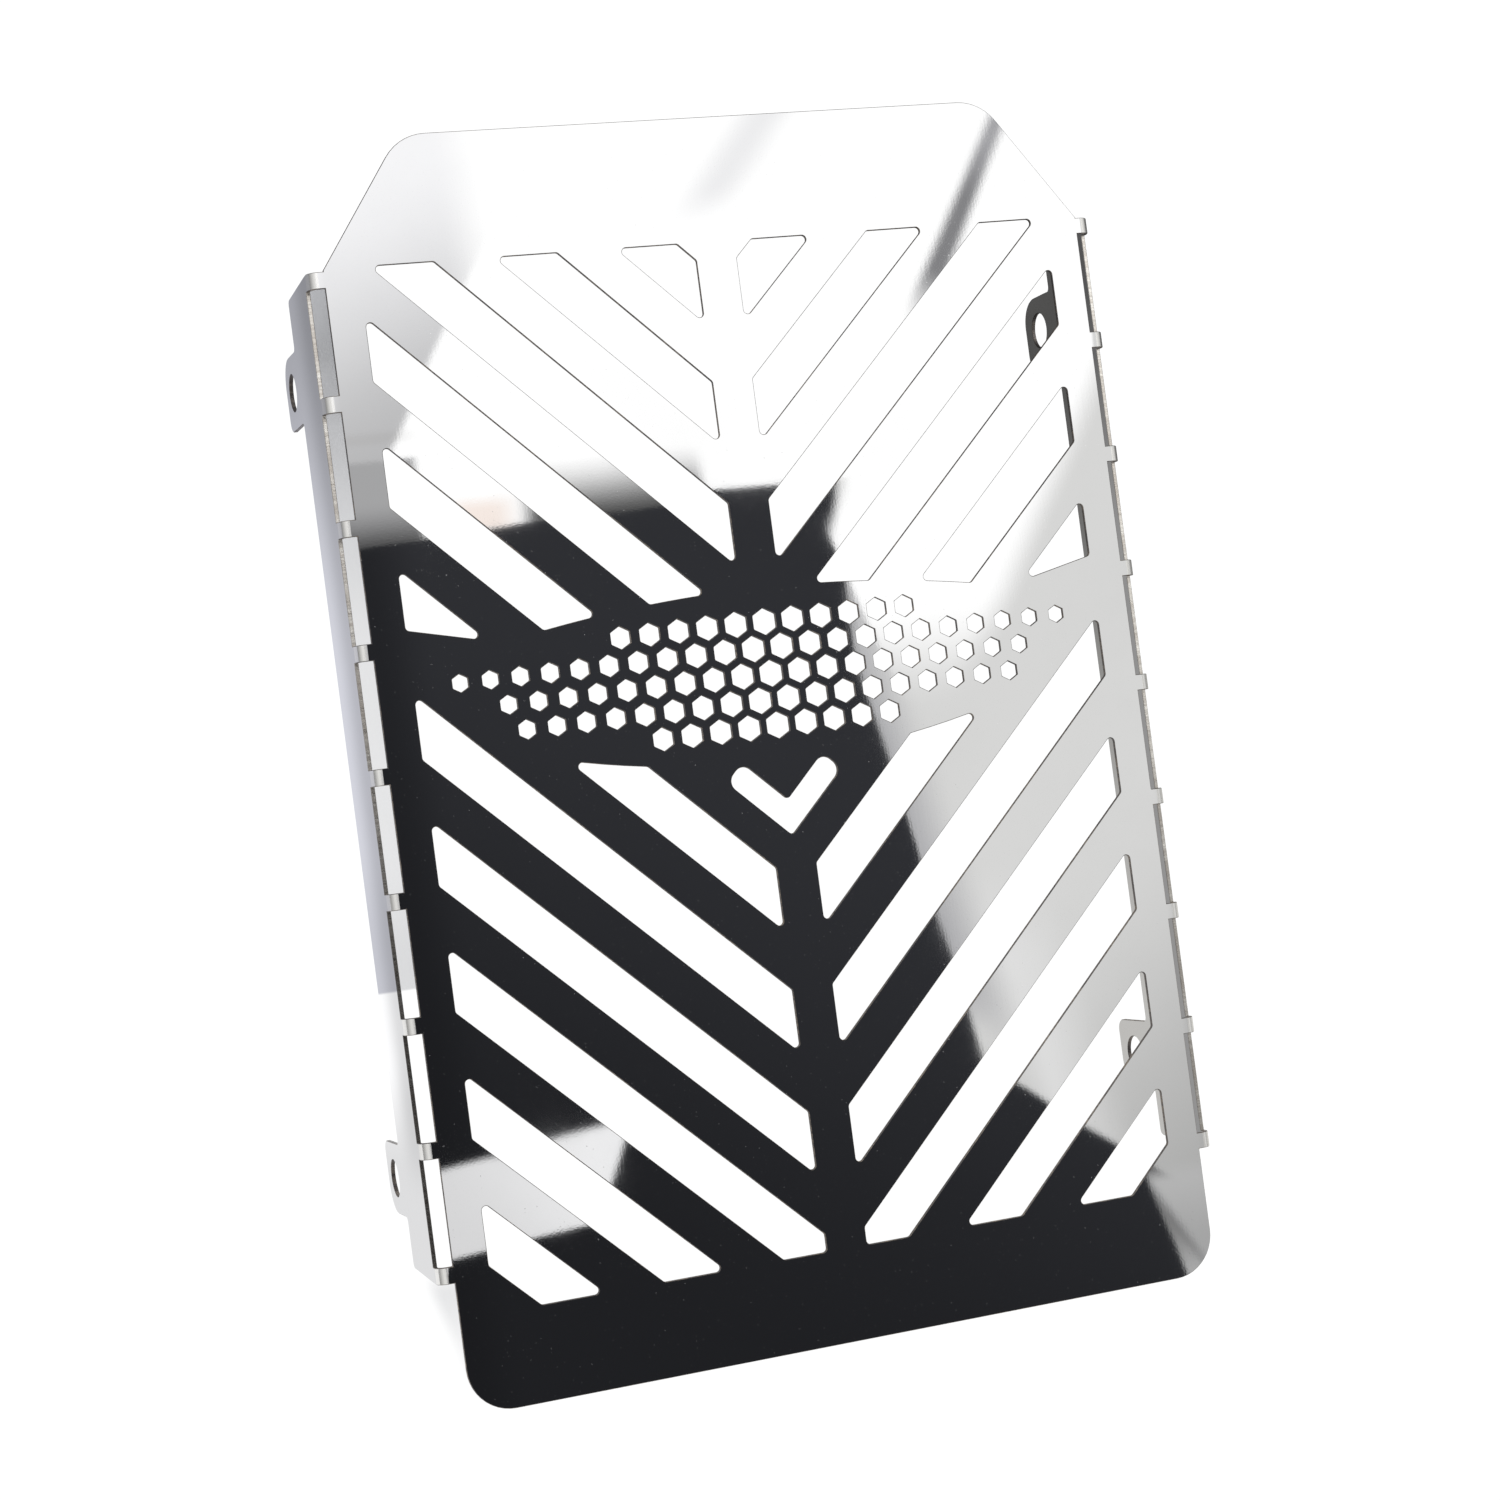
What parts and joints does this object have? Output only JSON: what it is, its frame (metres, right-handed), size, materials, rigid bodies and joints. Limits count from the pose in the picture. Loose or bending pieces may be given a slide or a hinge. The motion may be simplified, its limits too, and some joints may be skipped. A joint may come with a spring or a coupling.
{
  "type": "motorcycle radiator guard",
  "caption": "Flat polished sheet guard with chevron slots and a honeycomb field, sides folded back into flanges with bolt-hole ears that hold it over a motorcycle radiator.",
  "frame": {"origin": "on the floor under the middle of the front plate, level with the tips of the four ears", "axes": "+Z is the outward normal of the front plate, +Y runs towards its top edge with the cut corners, +X runs across it to the right-hand flange"},
  "size_m": [0.1976, 0.295, 0.0443],
  "materials": {
    "polished_steel": "mirror-polished stainless sheet with plain laser-cut edges"
  },
  "bodies": {
    "root": {"radiator_guard": "polished_steel"}
  },
  "joints": []
}
